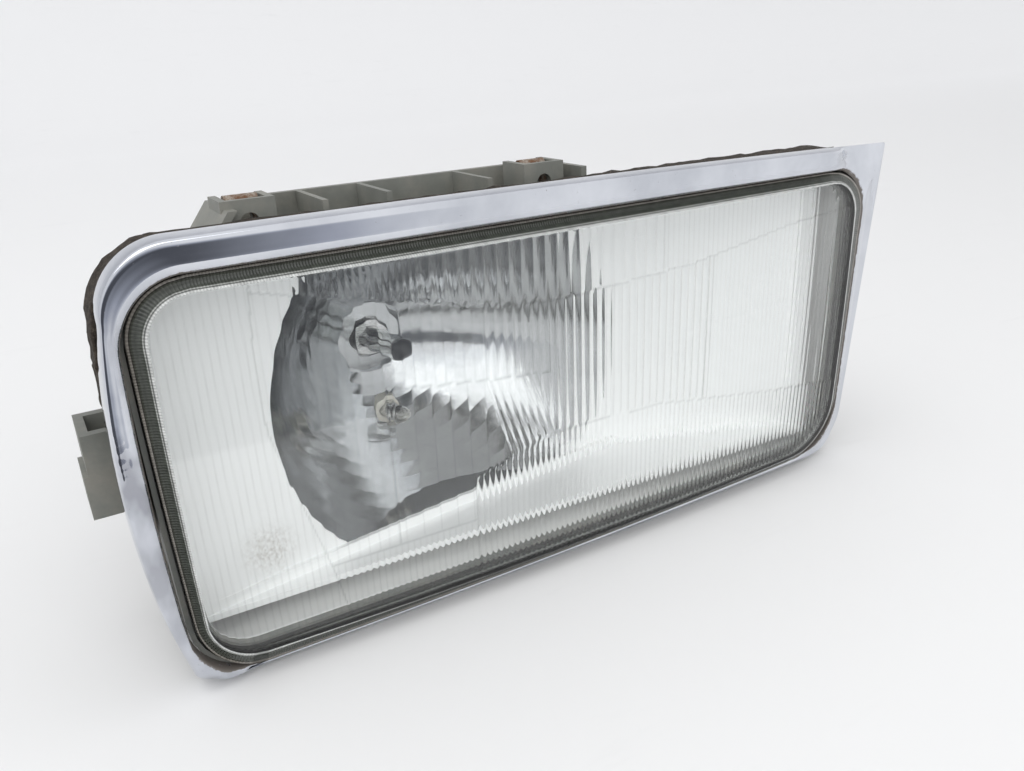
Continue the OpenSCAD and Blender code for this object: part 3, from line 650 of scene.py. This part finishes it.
def trim_depth(x, z, share, full, flange, strip):
    """Depth of a point of the trim, which is swept back at its pointed lower outer corner."""
    t = clamp01((x - 134) / 18)
    on_flange = t * t * (3 - 2 * t)
    on_strip = clamp01((x + 148) / 10) * clamp01((3 - z) / 6)
    tip = clamp01((-x - 138) / 12) * clamp01((26 - z) / 30) * (1 - on_strip)
    sweep = 4 if full == SKIRT_DEPTH else 9 * share
    return mix(mix(full, flange, on_flange), strip, on_strip) + tip * sweep


def trim_frame():
    """The bright trim, a smooth curve close to the CAD's faceted profile."""
    arc_steps, side_steps = 22, 44
    rings, shares = [], []
    for share, full, flange, strip in smoothed(TRIM_FRONT, 5) + TRIM_BACK:
        share = clamp01(share)
        corners = [mix(np.array(a), np.array(b), share)
                   for a, b in zip(HOLE_CORNERS, TRIM_CORNERS)]
        radii = [mix(a, b, share) for a, b in zip(HOLE_RADII, TRIM_RADII)]
        for p in rounded_quad(corners, radii, arc_steps, side_steps):
            x, z = bowed(*p, left=mix(2.4, 7.7, share), top=1.2 * share)
            rings.append((x, trim_depth(x, z, share, full, flange, strip), z))
            shares.append(share)
    count = 4 * (arc_steps + 1 + side_steps)
    faces = ring_faces(count, len(rings) // count, True)
    made = make_object("trim_frame", rings, faces, [FINISHES["chrome_trim"]])
    spread(made, "across", shares)
    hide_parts("chrome_bezel")
    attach(made, "lamp_body")


# ---- Foam seal ----------------------------------------------------------------------


def foam_seal():
    """The foam strip, ragged and dented like old open foam."""
    arc_steps, side_steps = 20, 60
    inner = rim_outline(2.2, arc_steps, side_steps)
    corners = [(c[0] + g[0], c[1] + g[1]) for c, g in
               zip(RIM_CORNERS, ((-8.7, 0), (3, 0), (-4, 10.2), (-8.6, 10.9)))]
    radii = [r + g for r, g in zip(RIM_RADII, (9, 3, -9, 5))]
    outer = [bowed(*p, left=2.4) for p in rounded_quad(corners, radii, arc_steps, side_steps)]
    strip = [(a, b) for a, b in zip(inner, outer) if a[0] < 140 and a[1] > 46 and b[1] > 46]
    section = [(0.0, 16.4), (0.0, 20.0), (0.0, 24.0), (0.25, 24.0), (0.5, 24.0), (0.75, 24.0),
               (0.97, 23.6), (1.0, 21.0), (1.0, 18.0), (1.0, 15.0), (1.0, 12.0), (0.97, 8.9),
               (0.86, 8.6), (0.7, 8.8), (0.7, 12.0), (0.7, 16.4), (0.35, 16.4)]
    points = []
    for a, b in strip:
        for share, depth in section:
            x, z = mix(a[0], b[0], share), mix(a[1], b[1], share)
            wear = 0.5 + 0.5 * noise.noise(Vector((x, depth, z)) * 0.16)
            wear += 0.5 * noise.noise(Vector((x, depth, z)) * 0.55)
            pull = 1.6 * clamp01(wear) * share
            away = math.hypot(b[0] - a[0], b[1] - a[1])
            x -= pull * (b[0] - a[0]) / away
            z -= pull * (b[1] - a[1]) / away
            points.append((x, depth, z))
    count, rings = len(section), len(strip)
    faces = ring_faces(count, rings, False)
    faces.append(tuple(range(count)))
    faces.append(tuple((rings - 1) * count + k for k in range(count)))
    made = make_object("foam_seal", points, faces, [FINISHES["foam"]], 180.0)
    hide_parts("weather_seal")
    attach(made, "lamp_body")


# ---- Fluted lens --------------------------------------------------------------------

FACE_LEFT = -HALF_W + 1.5
FACE_W = LENS_W - 1.5
FACE_RADII = {"low_left": 17.0, "low_right": 24.0, "high_right": 16.0, "high_left": 14.0}
COLUMNS = 600
ROWS = 150
# The grid's columns bend into the round corners within this distance of each end.
END_ZONE = 24.0
# Lines between the flute fields, as (x, z) points; the left one as (z, x) points.
UPPER_LINE = ((-150, 126), (-118, 126), (-84, 118), (-63, 113), (-35, 106), (-8, 104),
              (12, 105), (55, 107), (110, 115), (151, 118))
MIDDLE_LINE = ((-82, 86), (-66, 83), (-36, 79), (-14, 77))
LOWER_LINE = ((-48, 41), (-12, 51), (38, 50), (106, 39), (151, 33))
LEFT_LINE = ((0, -100), (24, -105), (78, -118.7), (84, -119.3), (108, -119.4), (130, -118))


# Pitch and depth of the flutes in each field.
FLUTES = {
    "outer_bay": (2.6, 0.03), "top_left": (2.4, 0.12), "top_middle": (5.0, 0.26),
    "top_right": (2.6, 0.06), "low_left": (2.4, 0.14), "over_bulb": (3.8, 0.02),
    "beside_bulb": (3.7, 0.30), "low_right": (2.5, 0.20), "slanted": (3.0, 0.22),
    "window": (7.0, 0.04), "middle": (3.7, 0.30), "right": (2.6, 0.08),
}


def line(points, x):
    xs, ys = zip(*points)
    return float(np.interp(x, xs, ys))


def flute_field(x, z):
    """The field a point of the lens is in, and its place across the flutes there."""
    if x < line(LEFT_LINE, z):
        return "outer_bay", x + 0.02 * z
    if z > line(UPPER_LINE, x):
        if x < -63:
            return "top_left", x
        return ("top_middle" if x < 40 else "top_right"), x
    if x < -48 and z < 24:
        return "low_left", x
    if x < -14 and z > line(MIDDLE_LINE, x):
        return ("over_bulb" if x < -41 else "beside_bulb"), x
    if x < -79:
        return "over_bulb", x
    if z < line(LOWER_LINE, x) and x > -48:
        return "low_right", x
    if x < mix(-13.0, -20.0, (z - 52) / 25):
        slant = x - 0.30 * (78 - z)
        return ("slanted", slant) if slant > -41 else ("window", x)
    return ("middle" if x < 66 else "right"), x


# How far from the line between two flutes the painted shade in the glass reaches.
GROOVE_REACH = 0.4


def relief(x, z):
    """How far the glass stands into the lamp at a point, and how dark the painted shade of a nearby
    groove is there.
    """
    field, place = flute_field(x, z)
    pitch, depth = FLUTES[field]
    t = (place / pitch) % 1.0
    groove = 0.6 * clamp01(1 - min(t, 1 - t) * pitch / GROOVE_REACH)
    if field != flute_field(x + 0.5, z)[0] or field != flute_field(x, z + 0.8)[0]:
        groove = 1.0
    return depth * (1 - (2 * t - 1) ** 2), groove


def crown(x, z):
    """How far the face stands out towards the front, as a negative depth."""
    return -3.0 * (1 - (x / HALF_W) ** 2) - (1 - ((z - LENS_H / 2) / (LENS_H / 2)) ** 2)


def settle(x, z):
    """Moves a point of a plain rectangular face to the lens's own leaning, bowed outline."""
    across, up = (x - FACE_LEFT) / FACE_W, z / LENS_H
    low = [mix(a, b, across) for a, b in zip(FACE_CORNERS[0], FACE_CORNERS[1])]
    high = [mix(a, b, across) for a, b in zip(FACE_CORNERS[3], FACE_CORNERS[2])]
    return bowed(mix(low[0], high[0], up), mix(low[1], high[1], up))


def inset(along, radius):
    """How far the outline of a rounded corner has come in, along mm from the corner's end."""
    reach = radius - min(along, radius)
    return radius - math.sqrt(max(radius ** 2 - reach ** 2, 0.0))


def face_point(i, j):
    """Grid point of the lens face, as a plain rectangle with round corners."""
    t = j / ROWS
    z = LENS_H * (0.7 * t + 0.3 * (0.5 - 0.5 * math.cos(math.pi * t)))
    low = z < LENS_H / 2
    along = z if low else LENS_H - z
    left = FACE_LEFT + inset(along, FACE_RADII["low_left" if low else "high_left"])
    right = HALF_W - inset(along, FACE_RADII["low_right" if low else "high_right"])
    x = FACE_LEFT + FACE_W * i / COLUMNS
    left_end, right_end = FACE_LEFT + END_ZONE, HALF_W - END_ZONE
    if x < left_end:
        x = mix(left_end, left, (left_end - x) / END_ZONE)
    if x > right_end:
        x = mix(right_end, right, (x - right_end) / END_ZONE)
    return x, z


def outward(x, z):
    """Direction away from the lens face at a point of its outline."""
    low, left = z < LENS_H / 2, x < 0
    radius = FACE_RADII[("low" if low else "high") + ("_left" if left else "_right")]
    centre_x = FACE_LEFT + radius if left else HALF_W - radius
    centre_z = radius if low else LENS_H - radius
    dx = min(x - centre_x, 0.0) if left else max(x - centre_x, 0.0)
    dz = min(z - centre_z, 0.0) if low else max(z - centre_z, 0.0)
    size = math.hypot(dx, dz)
    return dx / size, dz / size


# Rim section as (share of the rim's width, depth).
RIM_PROFILE = ((0.04, -0.06), (0.10, 0.0), (0.15, 0.25), (0.19, 0.62), (0.23, 0.66),
               (0.27, 0.9), (0.34, 1.25), (0.5, 1.7), (0.68, 2.15), (0.8, 2.5), (0.83, 2.8),
               (0.96, 2.95), (1.0, 3.1), (1.0, RIM_BACK), (0.46, RIM_BACK), (0.12, 5.2))


def rim_width(x, z):
    """How far the rim stands out beside a point of the face's edge, across and up."""
    across, up = clamp01((x + HALF_W) / LENS_W), clamp01(z / LENS_H)
    sideways = mix(3.4, 6.0, up) if x < 0 else mix(6.7, 9.1, up)
    return sideways, mix(6.8, 4.8, across) if z < LENS_H / 2 else mix(5.0, 4.6, across)


# The smooth outer face is drawn as rings, each this share of the outline's size.
FACE_SHARES = (0.18, 0.34, 0.5, 0.66, 0.8, 0.9, 0.96, 0.99, 1.0)


def fluted_side():
    """Points of the lens's inner face, row by row, and how dark the painted groove shade is at
    each.
    """
    points, grooves = [], []
    for j in range(ROWS + 1):
        for i in range(COLUMNS + 1):
            x, z = face_point(i, j)
            height, groove = relief(x, z)
            grooves.append(groove)
            x, z = settle(x, z)
            points.append((x, crown(x, z) + GLASS_T + height, z))
    return points, grooves


def border_cells():
    """The grid's outer points in order: along the bottom, up, back along the top and down."""
    cells = [(i, 0) for i in range(COLUMNS + 1)]
    cells += [(COLUMNS, j) for j in range(1, ROWS + 1)]
    cells += [(i, ROWS) for i in range(COLUMNS - 1, -1, -1)]
    return cells + [(0, j) for j in range(ROWS - 1, 0, -1)]


def outer_side(flat):
    """Points of the smooth face, then of the rim, as rings through the border's points."""
    points = []
    for share in FACE_SHARES:
        for x, z in flat:
            x, z = settle(x, z)
            x, z = x * share, (z - LENS_H / 2) * share + LENS_H / 2
            points.append((x, crown(x, z), z))
    for reach, depth in RIM_PROFILE:
        for x, z in flat:
            nx, nz = outward(x, z)
            wide, high = rim_width(x, z)
            px, pz = settle(x, z)
            bulge = crown(px, pz) * clamp01(1 - reach / 0.4)
            points.append((px + nx * wide * reach, depth + bulge, pz + nz * high * reach))
    return points


def distances(flat):
    """How far along the border each of its points is."""
    travelled, along = 0.0, []
    for k, (x, z) in enumerate(flat):
        travelled += math.dist((x, z), flat[k - 1]) if k else 0.0
        along.append(travelled)
    return along


def fluted_lens():
    """One closed piece of glass: fluted inside, smooth and crowned outside, bevelled rim."""
    inner, grooves = fluted_side()
    width = COLUMNS + 1
    inner_faces = [
        (j * width + i, j * width + i + 1, (j + 1) * width + i + 1, (j + 1) * width + i)
        for j in range(ROWS) for i in range(COLUMNS)
    ]
    border = border_cells()
    count, start = len(border), len(inner)
    flat = [face_point(i, j) for i, j in border]
    rings = len(FACE_SHARES) + len(RIM_PROFILE)
    outer_faces = ring_faces(count, rings, False, start)
    points = inner + outer_side(flat) + [(0.0, crown(0.0, LENS_H / 2), LENS_H / 2)]
    middle, last = len(points) - 1, start + (rings - 1) * count
    fan = [(middle, start + k, start + (k + 1) % count) for k in range(count)]
    index = [j * width + i for i, j in border]
    seam = [(last + k, last + (k + 1) % count, index[(k + 1) % count], index[k])
            for k in range(count)]
    made = make_object("fluted_lens", points, inner_faces + outer_faces + seam + fan,
                       [FINISHES["lens_glass"], rim_glass()], 50.0)
    glass_quads = (len(FACE_SHARES) - 1) * count
    first_rim = len(inner_faces) + glass_quads
    rim_quads = len(outer_faces) - glass_quads
    for polygon in made.data.polygons[first_rim:first_rim + rim_quads]:
        polygon.material_index = 1
    before_rim = [0.0] * (start + len(FACE_SHARES) * count)
    outwards = [reach for reach, depth in RIM_PROFILE for k in range(count)]
    spread(made, "along", [0.0] * start + distances(flat) * rings + [0.0])
    spread(made, "outwards", before_rim + outwards + [0.0])
    spread(made, "groove", grooves + [0.0] * (rings * count + 1))
    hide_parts("lens")
    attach(made, "lamp_body")


# ---- Bulb tip -----------------------------------------------------------------------


# The bulb's round tip: its radius with the paint on, and where its centre is on the axis.
TIP_RADIUS = 5.68
TIP_CENTRE = -33.0 + 5.6
PAINT_T = 0.06


def revolved(profile, steps=48):
    """Points and faces of a closed piece about the lamp's axis, from (radius, v) rows."""
    points = []
    for radius, v in profile:
        for k in range(steps):
            angle = 2 * math.pi * k / steps
            world = axis_point(radius * math.cos(angle), v, radius * math.sin(angle))
            points.append(tuple((world - ORIGIN) / MM))
    faces = ring_faces(steps, len(profile), False)
    faces.append(tuple(range(steps)))
    faces.append(tuple((len(profile) - 1) * steps + k for k in range(steps)))
    return points, faces


def bulb_tip():
    """The dark paint on the bulb's tip, a thin cap over the glass."""
    turns = [math.radians(a) for a in range(4, 68, 4)]
    cap = [(TIP_RADIUS * math.sin(a), TIP_CENTRE - TIP_RADIUS * math.cos(a)) for a in turns]
    inner = [(r - PAINT_T if r > 1 else r * 0.5, v + 0.04) for r, v in cap[::-1]]
    points, faces = revolved(cap + inner)
    paint = moulded("tip_paint", (0.02, 0.02, 0.022), (0.05, 0.05, 0.055), 0.4, 0.35)
    made = make_object("bulb_tip_paint", points, faces, [paint], 40.0)
    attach(made, "reflector_unit")


# ---- Floor --------------------------------------------------------------------------


def floor_finish():
    """Pale paint with faint scuffs, and painted shade that makes it darker towards the front and
    lighter towards the back.
    """
    made = Finish("floor_finish", roughness=0.6)
    marks = made.ramp(made.noise(160.0, 9.0, 0.7, (1, 5, 1)), (0.60, 0.0), (0.72, 0.08))
    # Painted shade: the floor colour goes from darker near the front to lighter at the back.
    far = made.ramp(made.vector("DOT_PRODUCT", made.coord, (0, 0.3, 0), 1), (0.0, 0.0), (0.6, 1.0))
    tone = made.blend(far, (0.78, 0.78, 0.78), (0.93, 0.93, 0.935))
    made.colour(made.blend(marks, tone, (0.50, 0.50, 0.51)))
    made.bump(made.noise(3.0, 4.0), 0.05, 0.3)
    return made.material


def add_floor():
    """A pale sweep: flat under the lamp, rising far behind it."""
    front, back, rise, half, top = -0.30, 2.2, 1.6, 9.0, 5.0
    section = [(front, 0.0), (back, 0.0)]
    section += [(back + rise * math.sin(math.radians(a)), rise * (1 - math.cos(math.radians(a))))
                for a in range(6, 91, 6)]
    section.append((back + rise, top))
    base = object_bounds()[0][2]
    points = [(x, y, base + z) for y, z in section for x in (-half, half)]
    faces = [(2 * k, 2 * k + 1, 2 * k + 3, 2 * k + 2) for k in range(len(section) - 1)]
    mesh = bpy.data.meshes.new("floor")
    mesh.from_pydata(points, [], faces)
    mesh.materials.append(floor_finish())
    mesh.shade_smooth()
    floor = bpy.data.objects.new("floor", mesh)
    bpy.context.scene.collection.objects.link(floor)


# ---- Build --------------------------------------------------------------------------

add_camera()
add_world()
add_area("key", (-0.6, -0.5, 1.5), (0, 0, 0), (1.6, 1.2), 7.5)
add_area("front", (-0.45, -1.5, 0.6), (0, 0, 0.07), (2.2, 1.2), 10.5, glossy=False)
add_floor()
dress_cad()
trim_frame()
foam_seal()
fluted_lens()
bulb_tip()
bpy.context.scene.view_settings.view_transform = "Standard"
